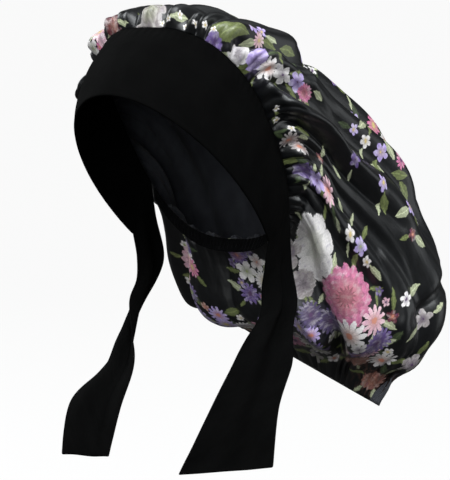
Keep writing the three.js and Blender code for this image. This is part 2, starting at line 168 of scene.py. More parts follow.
# Crisp folds: where along the bag they begin and end, where round it at the beginning, middle and end, their
# width, and their height in millimetres
CRISP_FOLDS = rows_of("begin end at_begin at_middle at_end width height", [
    (0.0, 0.2, 0.105, 0.14, 0.168, 0.012, -9),
    (0.0, 0.3, 0.13, 0.165, 0.185, 0.013, 5),
    (0.0, 0.45, 0.172, 0.208, 0.205, 0.01, -9),
    (0.0, 0.45, 0.19, 0.232, 0.228, 0.014, 7),
    (0.0, 0.55, 0.24, 0.256, 0.248, 0.01, -9),
    (0.02, 0.72, 0.29, 0.276, 0.278, 0.012, 7),
    (0.02, 0.7, 0.325, 0.303, 0.314, 0.01, -8),
    (0.0, 0.5, 0.335, 0.32, 0.335, 0.01, 5),
    (0.05, 0.6, 0.36, 0.345, 0.33, 0.008, -5),
    (0.1, 0.95, 0.425, 0.416, 0.4, 0.009, -6),
    (0.1, 0.9, 0.435, 0.43, 0.415, 0.009, 4),
    (0.3, 0.9, 0.39, 0.39, 0.385, 0.012, 4),
    (0.5, 0.95, 0.298, 0.285, 0.275, 0.009, 4),
    (0.6, 0.98, 0.19, 0.21, 0.23, 0.03, 6),
    (0.84, 1.04, 0.27, 0.27, 0.27, 0.02, -7),
    (0.2, 0.9, 0.02, 0.05, 0.06, 0.012, -5),
    (0.1, 0.8, 0.945, 0.96, 0.98, 0.012, 5),
    (0.1, 0.85, 0.86, 0.85, 0.87, 0.011, -5),
    (0.15, 0.9, 0.77, 0.765, 0.78, 0.01, -5),
    (0.1, 0.9, 0.68, 0.69, 0.685, 0.01, -5),
    (0.2, 0.95, 0.6, 0.605, 0.6, 0.01, 4),
    (0.2, 0.9, 0.535, 0.54, 0.53, 0.01, -4),
    (0.0, 0.22, 0.0, 0.026, 0.06, 0.006, 4),
    (0.0, 0.25, 0.016, 0.042, 0.075, 0.006, -5),
    (0.0, 0.28, 0.03, 0.056, 0.088, 0.006, 4),
    (0.0, 0.26, 0.044, 0.07, 0.1, 0.006, -5),
    (0.0, 0.24, 0.058, 0.084, 0.112, 0.006, 4),
    (0.0, 0.2, 0.073, 0.098, 0.122, 0.006, -5),
])

# Single dents and swellings: where round and along, how far they reach round and along, and their height
DENTS = rows_of("around along width length height", [
    (0.18, 0.625, 0.06, 0.055, -9),
    (0.185, 0.77, 0.03, 0.035, -4),
    (0.235, 0.85, 0.04, 0.04, -4),
    (0.1, 0.23, 0.025, 0.03, 4),
    (0.107, 0.29, 0.025, 0.025, -5),
    (0.245, 0.935, 0.03, 0.03, -7),
    (0.27, 0.885, 0.02, 0.025, 4),
    (0.238, 0.72, 0.04, 0.013, -8),
    (0.02, 0.11, 0.05, 0.07, -5),
    (0.965, 0.066, 0.025, 0.035, -5),
    (0.893, 0.045, 0.02, 0.03, -5),
])

# The ties' sections below the band's ends: front edge, back edge and the depth of the ripples
LEFT_TIE = [
    ((67, 35, -194), (70, 65, -162), 1),
    ((64, 38, -213), (66, 72, -198), 2.5),
    ((67, 32, -231), (73, 69, -228), 4),
    ((75, 0, -249), (84, 46, -250), 4),
    ((75, -33, -279), (98, 26, -273), 3),
    ((67, -57, -318), (106, -5, -305), 2.5),
    ((56, -73, -354), (112, -22, -350), 2),
]
RIGHT_TIE = [
    ((-66, 35, -194), (-70, 65, -162), 1),
    ((-60, 28, -213), (-65, 68, -200), 2.5),
    ((-50, 8, -232), (-66, 42, -228), 4),
    ((-36, -8, -256), (-56, 0, -256), 4),
    ((-24, -24, -280), (-54, -36, -284), 3),
    ((-17, -52, -312), (-60, -66, -306), 3),
    ((-15, -70, -348), (-56, -82, -348), 2),
]


# Curves and grids

FINE_STEPS = 721
ROW_CROWDING = 1.15
FOLD_FADE = 0.2  # the share of the bag's length over which a long fold dies away


def smooth_step(low, high, x):
    t = np.clip((x - low) / (high - low), 0, 1)
    return t * t * (3 - 2 * t)


def bell(x):
    return np.exp(-(x**2))


def wrapped(away):
    """How far away a place round the ring is, the shorter way."""
    return away - np.round(away)


def squared(x, roundness):
    """A signed power, which squares up a circle's cosine and sine."""
    return np.sign(x) * np.abs(x) ** (2 / roundness)


def spline(table, i, t):
    """A smooth curve through the rows of a table, at t between rows i and i + 1 (Catmull-Rom)."""
    p0, p1, p2, p3 = (table[min(len(table) - 1, max(0, k))] for k in (i - 1, i, i + 1, i + 2))
    slope1, slope2 = (p2 - p0) / 2, (p3 - p1) / 2
    cubic = 2 * p1 - 2 * p2 + slope1 + slope2
    square = -3 * p1 + 3 * p2 - 2 * slope1 - slope2
    return ((cubic * t + square) * t + slope1) * t + p1


def ring_at(along):
    places = RINGS[:, 0]
    i = int(np.clip(np.searchsorted(places, along, side="right") - 1, 0, len(RINGS) - 2))
    t = (along - places[i]) / (places[i + 1] - places[i])
    return Named(**dict(zip(RING_COLUMNS.split(), spline(RINGS, i, t))))


def lengths_along(points):
    steps = np.linalg.norm(np.diff(points, axis=0), axis=1)
    return np.concatenate([[0], np.cumsum(steps)])


def spread_evenly(points, count, margin=0):
    """Points spread evenly along a polyline, so far from its ends."""
    along = lengths_along(points)
    wanted = np.linspace(margin, along[-1] - margin, count)
    return np.stack([np.interp(wanted, along, points[:, k]) for k in range(3)], axis=1)


def bare_ring(along, columns):
    """One ring of the bag, from its top round by the wearer's left and back, without folds."""
    ring = ring_at(along)
    angle = np.linspace(0, TURN, FINE_STEPS)
    side = squared(np.sin(angle), ring.roundness)[:, None]
    up = squared(np.cos(angle), ring.roundness)[:, None]
    outer = np.array([ring.shift, ring.outer_y, ring.outer_z])
    inner = np.array([ring.shift, ring.inner_y, ring.inner_z])
    points = (outer + inner) / 2 + (outer - inner) / 2 * up
    points = points + side * np.array([ring.half_width, 0, -ring.lean])
    bow = OPENING_BOW * (1 - smooth_step(0, 0.3, along))
    points = points + bow * (np.sin(angle) ** 2)[:, None] * OPENING_OUT
    return spread_evenly(points, columns + 1)[:-1]


def normals_of(grid, closed):
    """Unit normals of a grid of points, each the cross product of its column and row directions."""
    if closed:
        across = np.roll(grid, -1, axis=1) - np.roll(grid, 1, axis=1)
    else:
        across = np.gradient(grid, axis=1)
    return unit(np.cross(across, np.gradient(grid, axis=0)))


def in_opening_plane(normals):
    return unit(normals - (normals @ OPENING_OUT)[..., None] * OPENING_OUT)


# The bag's folds

def fold_height(around, along):
    """How far the cloth stands off the bare ring."""
    size = smooth_step(0, GATHERS.rise, along) * np.exp(-along / GATHERS.fade)
    height = GATHERS.height * size * np.cos(TURN * GATHERS.count * around)
    for fold in FOLDS:
        away = wrapped(around - fold.at - fold.drift * along)
        begun = smooth_step(fold.begin, fold.begin + fold.rise, along)
        left = 1 - smooth_step(fold.end - FOLD_FADE, fold.end, along)
        height = height + fold.height * begun * left * bell(away / fold.width)
    return height


def crease_height(around, along):
    """The fine puckers and creases that the CAD model leaves out."""
    random = np.random.default_rng(CREASES.seed)
    jitter = sum(size * np.sin(TURN * turns * around + phase) for turns, phase, size in JITTER_WAVES)
    uneven = 1 + PUCKER_SPREAD * np.sin(TURN * 7 * around + 2) * np.sin(TURN * 11 * around)
    slanted = PUCKERS.count * around + jitter + PUCKERS.slant * along
    pucker = 2 * np.abs(np.cos(np.pi * slanted)) - 1
    size = smooth_step(0, PUCKERS.rise, along) * np.exp(-along / PUCKERS.fade)
    height = PUCKERS.height * size * uneven * pucker
    ending = 1 - smooth_step(SEAM_END, 1, along)
    bottom = smooth_step(BOTTOM_GATHERS.begin, BOTTOM_GATHERS.full, along) * ending
    gathers = np.cos(TURN * (BOTTOM_GATHERS.count * around + jitter))
    height = height + BOTTOM_GATHERS.height * bottom * uneven * gathers
    for _ in range(CREASES.count):
        at, drift = random.uniform(0, 1), random.uniform(*CREASES.drift)
        bend, phase = random.uniform(*CREASES.bend), random.uniform(0, 6.3)
        width = random.uniform(*CREASES.width)
        depth = random.uniform(*CREASES.height) * random.choice([-1, 1])
        begin = random.uniform(*CREASES.begin)
        length = random.uniform(*CREASES.length)
        away = wrapped(around - at - drift * along - bend * np.sin(7 * along + phase))
        middle = (along - begin - length / 2) / (length / 2)
        fade = np.clip(1 - middle**2, 0, 1) ** 1.5
        height = height + depth * fade * bell(away / width)
    for fold in CRISP_FOLDS:
        t = (along - fold.begin) / (fold.end - fold.begin)
        at = fold.at_begin * (1 - t) * (1 - 2 * t) + fold.at_middle * 4 * t * (1 - t)
        away = wrapped(around - at - fold.at_end * t * (2 * t - 1))
        fade = np.sqrt(np.clip(1 - (2 * t - 1) ** 2, 0, 1))
        height = height + fold.height * fade * np.exp(-(np.abs(away / fold.width) ** 1.4))
    for dent in DENTS:
        across, down = wrapped(around - dent.around), along - dent.along
        away = (across / dent.width) ** 2 + (down / dent.length) ** 2
        height = height + dent.height * np.exp(-away)
    return height * smooth_step(0, 0.012, along) * ending


def bag_surface(rows, columns):
    """The bag's mid-surface as a grid of points in millimetres, its rows closer together at the band."""
    along = np.linspace(0, 1, rows + 1) ** ROW_CROWDING
    around = np.arange(columns) / columns
    bare = np.array([bare_ring(v, columns) for v in along])
    bare[0] += SEAM_GAP * OPENING_OUT
    normals = normals_of(bare, True)
    turn = smooth_step(0, 0.1, along)[:, None, None]
    direction = unit(in_opening_plane(normals) * (1 - turn) + normals * turn)
    grid_along, grid_around = np.meshgrid(along, around, indexing="ij")
    height = fold_height(grid_around, grid_along) + crease_height(grid_around, grid_along)
    folded = bare + direction * height[..., None]
    size_along = smooth_step(PUFF_LENGTH.begin, PUFF_LENGTH.full, grid_along) * (
        1 - smooth_step(PUFF_LENGTH.fading, PUFF_LENGTH.end, grid_along)
    )
    for puff in PUFFS:
        size = (size_along * bell((grid_around - puff.at) / puff.width))[..., None]
        folded = folded + size * (direction * puff.height - OPENING_OUT * puff.forward)
    opposite = (columns + columns // 2 - np.arange(columns)) % columns
    folded[-1] = (bare[-1] + bare[-1][opposite]) / 2
    return folded, along


# Meshes

def quads_of(rows, columns, closed):
    i, j = np.meshgrid(np.arange(rows - 1), np.arange(columns if closed else columns - 1), indexing="ij")
    right = (j + 1) % columns
    corners = [i * columns + j, i * columns + right, (i + 1) * columns + right, (i + 1) * columns + j]
    return np.stack([corner.ravel() for corner in corners], axis=1)


def mesh_object(name, grid, closed):
    mesh = bpy.data.meshes.new(name)
    faces = quads_of(*grid.shape[:2], closed)
    mesh.from_pydata((grid.reshape(-1, 3) * MM).tolist(), [], faces.tolist())
    mesh.polygons.foreach_set("use_smooth", [True] * len(mesh.polygons))
    piece = bpy.data.objects.new(name, mesh)
    bpy.context.collection.objects.link(piece)
    return piece


def corner_values(piece, name, values):
    """Stores three values at every face corner, such as a place on the flat cloth."""
    attribute = piece.data.attributes.new(name, "FLOAT_VECTOR", "CORNER")
    attribute.data.foreach_set("vector", np.asarray(values, dtype=np.float32).ravel())


def thicken(piece, wall):
    solid = piece.modifiers.new("wall", "SOLIDIFY")
    solid.thickness = wall * MM
    solid.offset = 0
    solid.use_even_offset = True
    solid.thickness_clamp = 1
    return solid


def flat_lengths(grid, closed):
    """Lengths on the cloth itself: across it from its first column, and down it from its first row."""
    ring = np.concatenate([grid, grid[:, :1]], axis=1) if closed else grid
    steps = np.linalg.norm(np.diff(ring, axis=1), axis=2)
    across = np.concatenate([np.zeros((len(grid), 1)), np.cumsum(steps, axis=1)], axis=1)
    steps = np.linalg.norm(np.diff(ring, axis=0), axis=2)
    down = np.concatenate([np.zeros((1, ring.shape[1])), np.cumsum(steps, axis=0)], axis=0)
    return across, down


def strip(name, grid, material, wall):
    """A piece from an open grid, with its flat lengths at every face corner for the material."""
    piece = mesh_object(name, grid, False)
    across, down = flat_lengths(grid, False)
    i, j = np.meshgrid(np.arange(len(grid) - 1), np.arange(across.shape[1] - 1), indexing="ij")
    places = [(i, j), (i, j + 1), (i + 1, j + 1), (i + 1, j)]
    corners = [np.stack([across[place], down[place], 0 * down[place]], axis=2) for place in places]
    corner_values(piece, "flat", np.stack(corners, axis=2))
    piece.data.materials.append(material)
    thicken(piece, wall)
    rims = piece.modifiers.new("soft rims", "SUBSURF")
    rims.levels = rims.render_levels = 1
    return piece


# The flower print: bouquets on the flat cloth, each motif a place and a form that the material draws

def linear(hex_colour):
    """A colour such as c8a0b0 in linear light."""
    parts = [int(hex_colour[k:k + 2], 16) / 255 for k in (0, 2, 4)]
    return tuple(p / 12.92 if p <= 0.04045 else ((p + 0.055) / 1.055) ** 2.4 for p in parts)


def palette(**codes):
    return {name: linear(code) for name, code in codes.items()}


PETAL_COLOURS = palette(
    pink="b8688a",
    rose="c8a0ac",
    lilac="a08fc2",
    violet="625084",
    dusk="4c4260",
    white="c9c5c4",
    grey="8e8786",
    wine="4c1823",
    rust="9a6a5c",
)
HEART_COLOURS = palette(yellow="bda872", orange="b87a66", green="8a9460", dark="4f3858")
LEAF_COLOURS = palette(olive="636b42", pale="9fa486", deep="39432d")
SATIN_BLACK = linear("060708")
SATIN_SOOT = linear("0c0d0f")

# Petals, how far out the gaps between them begin, the petals' bluntness, the heart's share and the fringe
FLOWER_KINDS = {
    "daisy": (11, 0.42, 0.7, 0.2, 0.0),
    "aster": (17, 0.6, 0.6, 0.14, 0.1),
    "carnation": (15, 0.86, 1.2, 0.0, 0.35),
    "lily": (5, 0.4, 0.55, 0.1, 0.1),
    "peony": (8, 0.84, 0.6, 0.0, 0.22),
    "star": (5, 0.4, 0.6, 0.22, 0.0),
}

# Bouquets: where round the bag and along it, half their width and length in millimetres, their number of
# flowers and of small stars, and their colours
BOUQUETS = rows_of("around along half_width half_length flowers stars colours", [
    (-0.11, 0.06, 14, 14, 3, 3, "pink white rose"),
    (0.1, 0.3, 10, 30, 2, 6, "white lilac violet"),
    (0.13, 0.5, 12, 36, 5, 6, "pink white lilac"),
    (0.15, 0.68, 16, 26, 5, 6, "lilac white wine"),
    (0.35, 0.6, 16, 20, 2, 4, "rose white violet"),
    (0.36, 0.8, 18, 18, 4, 4, "white rose violet"),
    (0.43, 0.62, 10, 30, 4, 3, "violet lilac white"),
    (0.45, 0.82, 14, 20, 3, 4, "white lilac violet"),
    (0.2, 0.86, 16, 20, 2, 5, "grey white wine"),
    (0.0, 0.2, 30, 24, 8, 6, "lilac white rose"),
    (0.055, 0.36, 26, 30, 8, 6, "pink white violet"),
    (-0.055, 0.36, 26, 30, 8, 6, "white lilac rose"),
    (-0.1, 0.2, 22, 24, 6, 5, "violet white pink"),
    (0.0, 0.48, 26, 26, 6, 6, "white rose violet"),
    (0.02, 0.62, 30, 40, 9, 8, "pink lilac white"),
    (0.06, 0.85, 34, 34, 9, 7, "white rust violet"),
    (0.9, 0.35, 28, 44, 10, 7, "lilac rose white"),
    (0.88, 0.65, 28, 46, 10, 7, "pink white violet"),
    (0.95, 0.85, 26, 30, 7, 6, "lilac white rust"),
    (0.78, 0.2, 24, 34, 8, 5, "white lilac pink"),
    (0.76, 0.5, 22, 44, 9, 6, "violet white rose"),
    (0.72, 0.8, 26, 34, 9, 5, "rose lilac white"),
    (0.62, 0.4, 20, 34, 8, 5, "white violet pink"),
    (0.58, 0.75, 22, 30, 7, 4, "lilac rust white"),
    (0.5, 0.3, 18, 26, 6, 4, "rose white violet"),
    (0.5, 0.8, 22, 26, 7, 4, "white pink lilac"),
])

# Single large flowers: where round the bag and along it, radius in millimetres, and the petals' colour, the
# kind and the heart's colour
LARGE_FLOWERS = rows_of("around along radius flower", [
    (0.004, 0.03, 17, "grey peony green"),
    (-0.06, 0.022, 14, "wine carnation orange"),
    (-0.098, 0.025, 11, "rose peony dark"),
    (-0.13, 0.03, 9, "white lily green"),
    (0.06, 0.05, 7, "grey lily dark"),
    (0.1, 0.012, 9, "violet peony dark"),
    (0.108, 0.113, 6, "lilac star yellow"),
    (0.108, 0.148, 5, "lilac star yellow"),
    (0.119, 0.13, 7, "rose daisy yellow"),
    (0.133, 0.022, 12, "white peony dark"),
    (0.153, 0.032, 12, "lilac peony dark"),
    (0.17, 0.062, 13, "white daisy orange"),
    (0.176, 0.11, 10, "white lily dark"),
    (0.178, 0.158, 10, "lilac lily dark"),
    (0.184, 0.185, 9, "pink carnation orange"),
    (0.179, 0.369, 5, "lilac star yellow"),
    (0.181, 0.409, 6, "white star yellow"),
    (0.181, 0.455, 8, "lilac lily yellow"),
    (0.172, 0.51, 7, "pink daisy dark"),
    (0.231, 0.43, 7, "lilac star yellow"),
    (0.221, 0.54, 7, "lilac star yellow"),
    (0.219, 0.577, 5, "white star yellow"),
    (0.246, 0.566, 5, "wine star orange"),
    (0.237, 0.309, 7, "violet lily dark"),
    (0.221, 0.025, 3.5, "white star yellow"),
    (0.24, 0.025, 3, "white star yellow"),
    (0.255, 0.04, 3, "white star yellow"),
    (0.27, 0.03, 9, "grey daisy orange"),
    (0.283, 0.06, 8, "grey daisy orange"),
    (0.277, 0.175, 5, "wine star orange"),
    (0.316, 0.08, 13, "violet peony dark"),
    (0.315, 0.145, 11, "lilac lily dark"),
    (0.31, 0.21, 12, "rose daisy orange"),
    (0.317, 0.36, 7, "white star yellow"),
    (0.315, 0.42, 8, "lilac lily green"),
    (0.321, 0.471, 5, "white star yellow"),
    (0.383, 0.25, 33, "white peony green"),
    (0.428, 0.21, 15, "grey lily dark"),
    (0.42, 0.36, 14, "grey peony dark"),
    (0.421, 0.524, 13, "dusk aster dark"),
    (0.366, 0.5, 30, "pink carnation orange"),
    (0.347, 0.645, 13, "rose daisy orange"),
    (0.406, 0.609, 14, "dusk aster dark"),
    (0.381, 0.664, 17, "white daisy orange"),
    (0.346, 0.751, 15, "violet aster dark"),
    (0.321, 0.674, 6, "wine star orange"),
    (0.298, 0.653, 6, "white star dark"),
    (0.267, 0.751, 9, "grey lily dark"),
    (0.26, 0.88, 11, "grey lily dark"),
    (0.322, 0.86, 13, "white daisy orange"),
    (0.362, 0.875, 13, "rust carnation orange"),
    (0.303, 0.955, 14, "rust carnation orange"),
    (0.41, 0.93, 7, "white star orange"),
    (0.455, 0.94, 9, "grey lily green"),
    (0.9, 0.4, 20, "pink carnation orange"),
    (0.02, 0.66, 19, "white lily green"),
    (0.76, 0.5, 20, "grey lily green"),
    (0.62, 0.45, 18, "rose carnation orange"),
    (0.06, 0.86, 17, "pink carnation orange"),
    (0.72, 0.8, 15, "white daisy yellow"),
])

# Small white buds in a row along the band, and what the random flowers of the bouquets are like
BUDS = Named(first=0.022, last=0.092, count=7, radius=2.8, down=(3, 16))
BOUQUET_KINDS = ["daisy", "aster", "daisy", "lily"]
BOUQUET_FLOWERS = Named(reach=1.0, radius=(7.5, 11.5), leaves=4)
BOUQUET_STARS = Named(reach=1.35, radius=(3.6, 5.2), leaves=2)
TRIES = 12
PRINT_SEED = 21

# Single leaves: where round the bag and along it, half their length in millimetres, angle and tone
SINGLE_LEAVES = rows_of("around along half degrees tone", [
    (0.107, 0.045, 21, 62, "olive"),
    (0.096, 0.06, 15, 75, "olive"),
    (0.152, 0.014, 13, 60, "olive"),
    (0.122, 0.1, 10, 100, "pale"),
    (0.119, 0.16, 11, 85, "olive"),
    (0.119, 0.21, 10, 85, "olive"),
    (0.15, 0.12, 9, 80, "pale"),
    (0.18, 0.225, 7, 80, "pale"),
    (0.3, 0.3, 6, 60, "pale"),
    (0.298, 0.02, 12, 100, "olive"),
    (0.303, 0.05, 9, 40, "deep"),
    (0.265, 0.27, 7, 85, "pale"),
    (0.2, 0.455, 9, 100, "pale"),
    (0.173, 0.475, 9, 60, "pale"),
    (0.184, 0.52, 10, 120, "olive"),
    (0.19, 0.55, 10, 80, "olive"),
    (0.325, 0.299, 8, 60, "pale"),
    (0.256, 0.451, 6, 10, "pale"),
    (0.371, 0.315, 13, 10, "olive"),
    (0.36, 0.36, 9, 40, "pale"),
    (0.431, 0.62, 11, 80, "deep"),
    (0.319, 0.751, 9, 50, "deep"),
    (0.445, 0.7, 10, 70, "olive"),
])
SINGLE_WIDTH = 0.4

# The leaves about a flower: half their length, their width as a share of it, and how far they tuck in
LEAVES = Named(half=(5.5, 10), width=(0.25, 0.42), inset=0.8, jitter=0.25, tones=[0.45, 0.35, 0.2])
GROUND = Named(colours=("dusk", "lilac", "rust"), least=12, reach=1.1, strength=0.35)

# How the print is laid out
FLOWER_LAYERS = 4
LEAF_LAYERS = 2
LARGE_LEAVES = Named(radius=9, more=5, fewer=2)  # a flower above this radius has more leaves
MOTIF_GAP = 0.6
FACE_REACH = 2.5  # a face this far outside a motif still carries it
SEARCH = Named(rows=2.5, columns=1.8)  # how many radii away a motif's faces are looked for


class Cloth:
    """The bag's grid with lengths measured on the cloth, to lay the print out on."""

    def __init__(self, grid, along):
        self.grid, self.along = grid, along
        self.rows, self.columns = len(grid) - 1, grid.shape[1]
        self.across, self.down = flat_lengths(grid, True)

    def place(self, around, along, right=0.0, forward=0.0):
        """A row and a column, so many millimetres across and down the cloth from two shares."""
        numbers = np.arange(self.rows + 1)
        row = np.interp(along, self.along, numbers)
        column = around * self.columns + right * self.columns / self.across[int(row), -1]
        lengths = self.down[:, int(column) % self.columns]
        row = np.interp(np.interp(row, numbers, lengths) + forward, lengths, numbers)
        return row, column % self.columns

    def cut_places(self):
        """Every face's corners on the cut cloth, which is as wide at the gathers as elsewhere."""
        column = np.arange(self.columns)
        column = np.where(column < self.columns // 2, column, column - self.columns)
        left, right = column * BAG_CUT_WIDTH / self.columns, (column + 1) * BAG_CUT_WIDTH / self.columns
        down = self.down.mean(axis=1)
        corners = np.zeros((self.rows, self.columns, 4, 3))
        corners[..., 0] = np.stack([left, right, right, left], axis=1)
        corners[..., 1] = np.stack([down[:-1], down[:-1], down[1:], down[1:]], axis=1)[:, None]
        return corners

    def point(self, place):
        return self.grid[min(self.rows, round(place[0])), round(place[1]) % self.columns]

    def faces_near(self, place, reach):
        """The faces about a place, and where their corners lie from it on the cloth."""
        row, column = place
        top, left = min(int(row), self.rows - 1), int(column)
        row_height = self.down[-1].mean() / self.rows
        column_width = self.across[top, -1] / self.columns
        rows_away = int(SEARCH.rows * reach / row_height) + 2
        columns_away = int(SEARCH.columns * reach / column_width) + 2
        i = np.arange(max(0, top - rows_away), min(self.rows, top + rows_away + 1))
        j = np.arange(left - columns_away, left + columns_away + 1)
        i, j = (part.ravel() for part in np.meshgrid(i, j, indexing="ij"))
        rows = np.stack([i, i, i + 1, i + 1], axis=1)
        turns, columns = np.divmod(np.stack([j, j + 1, j + 1, j], axis=1), self.columns)
        lean = column - left
        middles = self.across[:, left] * (1 - lean) + self.across[:, left + 1] * lean
        x = self.across[rows, columns] + turns * self.across[rows, -1] - middles[rows]
        lean = row - top
        middles = self.down[top] * (1 - lean) + self.down[top + 1] * lean
        y = self.down[rows, columns] - middles[columns]
        return i * self.columns + j % self.columns, np.stack([x, y], axis=2)


class Layer:
    """Motifs that don't overlap each other, each a place on the cloth, a radius and its values."""

    def __init__(self, cloth):
        self.cloth = cloth
        self.motifs = []

    def covers(self, point, gap):
        """Whether a point lies in a motif, or nearer to one than the gap."""
        return any(np.linalg.norm(point - other) < radius + gap for other, radius, _, _ in self.motifs)

    def add(self, place, radius, values):
        point = self.cloth.point(place)
        if self.covers(point, radius + MOTIF_GAP):
            return False
        self.motifs.append((point, radius, place, values))
        return True

    def store(self, piece, name):
        """Gives every face the motif nearest to it as values at its corners."""
        count = self.cloth.rows * self.cloth.columns
        best = np.full(count, np.inf)
        stored = {field: np.zeros((count, 4, 3)) for field in ["place", *self.motifs[0][3]]}
        for _, radius, place, values in self.motifs:
            faces, corners = self.cloth.faces_near(place, radius)
            beyond = np.linalg.norm(corners.mean(axis=1), axis=1) - radius
            nearer = (beyond < FACE_REACH) & (beyond < best[faces])
            faces, corners = faces[nearer], corners[nearer]
            best[faces] = beyond[nearer]
            stored["place"][faces, :, :2] = corners
            stored["place"][faces, :, 2] = radius
            for field, value in values.items():
                stored[field][faces] = value
        for field, value in stored.items():
            corner_values(piece, f"{name}_{field}", value)


def dusky_ground(cloth):
    """Dim colours that spread from the large flowers over the black, given at every face's corners."""
    total, weights = np.zeros((*cloth.grid.shape[:2], 3)), np.full(cloth.grid.shape[:2], 1e-6)
    strongest = np.zeros(cloth.grid.shape[:2])
    for large in LARGE_FLOWERS:
        petals = large.flower.split()[0]
        if large.radius >= GROUND.least and petals in GROUND.colours:
            centre = cloth.point(cloth.place(large.around, large.along))
            away = np.linalg.norm(cloth.grid - centre, axis=2) / (GROUND.reach * large.radius)
            weight = bell(away)
            total += weight[..., None] * np.array(PETAL_COLOURS[petals])
            weights += weight
            strongest = np.maximum(strongest, weight)
    ground = total * (GROUND.strength * strongest / weights)[..., None]
    following = np.roll(ground, -1, axis=1)
    return np.stack([ground[:-1], following[:-1], following[1:], ground[1:]], axis=2)


def add_to_first(layers, place, radius, values):
    return any(layer.add(place, radius, values) for layer in layers)


def flower_values(random, petals, kind, heart):
    count, gap, bluntness, heart_share, fringe = FLOWER_KINDS[kind]
    return {
        "form": (count, gap, random.uniform(0, TURN)),
        "look": (heart_share, bluntness, fringe),
        "petals": PETAL_COLOURS[petals],
        "heart": HEART_COLOURS[heart],
    }


def add_leaves(random, leaves, centre, radius, count):
    cloth = leaves[0].cloth
    start = random.uniform(0, TURN)
    around, along = centre[1] / cloth.columns, np.interp(centre[0], np.arange(cloth.rows + 1), cloth.along)
    for k in range(count):
        angle = start + TURN * (k + random.uniform(-LEAVES.jitter, LEAVES.jitter)) / count
        half = random.uniform(*LEAVES.half)
        reach = radius * LEAVES.inset + half
        place = cloth.place(around, along, reach * math.cos(angle), reach * math.sin(angle))
        tone = random.choice(list(LEAF_COLOURS), p=LEAVES.tones)
        values = {"form": (angle, random.uniform(*LEAVES.width), 0.0), "tone": LEAF_COLOURS[tone]}
        add_to_first(leaves, place, half, values)


def print_layers(cloth):
    """The whole print: the large flowers of the table, then the bouquets about them."""
    random = np.random.default_rng(PRINT_SEED)
    flowers = [Layer(cloth) for _ in range(FLOWER_LAYERS)]
    leaves = [Layer(cloth) for _ in range(LEAF_LAYERS)]
    for single in SINGLE_LEAVES:
        form = (math.radians(single.degrees), SINGLE_WIDTH, 0.0)
        values = {"form": form, "tone": LEAF_COLOURS[single.tone]}
        add_to_first(leaves, cloth.place(single.around, single.along), single.half, values)
    for large in LARGE_FLOWERS:
        place = cloth.place(large.around, large.along)
        values = flower_values(random, *large.flower.split())
        if add_to_first(flowers, place, large.radius, values):
            count = LARGE_LEAVES.more if large.radius > LARGE_LEAVES.radius else LARGE_LEAVES.fewer
            add_leaves(random, leaves, place, large.radius, count)
    for around in np.linspace(BUDS.first, BUDS.last, BUDS.count):
        place = cloth.place(around, 0, 0, random.uniform(*BUDS.down))
        add_to_first(flowers, place, BUDS.radius, flower_values(random, "white", "star", "yellow"))
    for bouquet in BOUQUETS:
        for number in range(bouquet.flowers + bouquet.stars):
            small = number >= bouquet.flowers
            form = BOUQUET_STARS if small else BOUQUET_FLOWERS
            for _ in range(TRIES):
                angle = random.uniform(0, TURN)
                reach = form.reach * math.sqrt(random.uniform(0, 1))
                right = bouquet.half_width * reach * math.cos(angle)
                forward = bouquet.half_length * reach * math.sin(angle)
                place = cloth.place(bouquet.around, bouquet.along, right, forward)
                kind = "star" if small else random.choice(BOUQUET_KINDS)
                radius = random.uniform(*form.radius)
                petals = random.choice(bouquet.colours.split())
                heart = random.choice(list(HEART_COLOURS))
                if any(layer.covers(cloth.point(place), 0) for layer in flowers):
                    continue
                if add_to_first(flowers, place, radius, flower_values(random, petals, kind, heart)):
                    add_leaves(random, leaves, place, radius, form.leaves)
                    break
    return flowers, leaves


# Materials

LEAST_RADIUS = 0.1  # a face without a motif has radius 0
LEAST_HEART = 0.01  # a flower without a heart has share 0
SATIN = Named(roughness=(0.33, 0.43), specular=0.48, weave=0.00004, ripples=0.0012)


class Value:
    """What a node gives. Sums and products of such values add the nodes that work them out."""

    def __init__(self, graph, socket):
        self.graph, self.socket = graph, socket

    def __add__(self, other):
        return self.graph.math("ADD", self, other)

    def __sub__(self, other):
        return self.graph.math("SUBTRACT", self, other)

    def __rsub__(self, other):
        return self.graph.math("SUBTRACT", other, self)

    def __mul__(self, other):
        return self.graph.math("MULTIPLY", self, other)

    def __truediv__(self, other):
        return self.graph.math("DIVIDE", self, other)


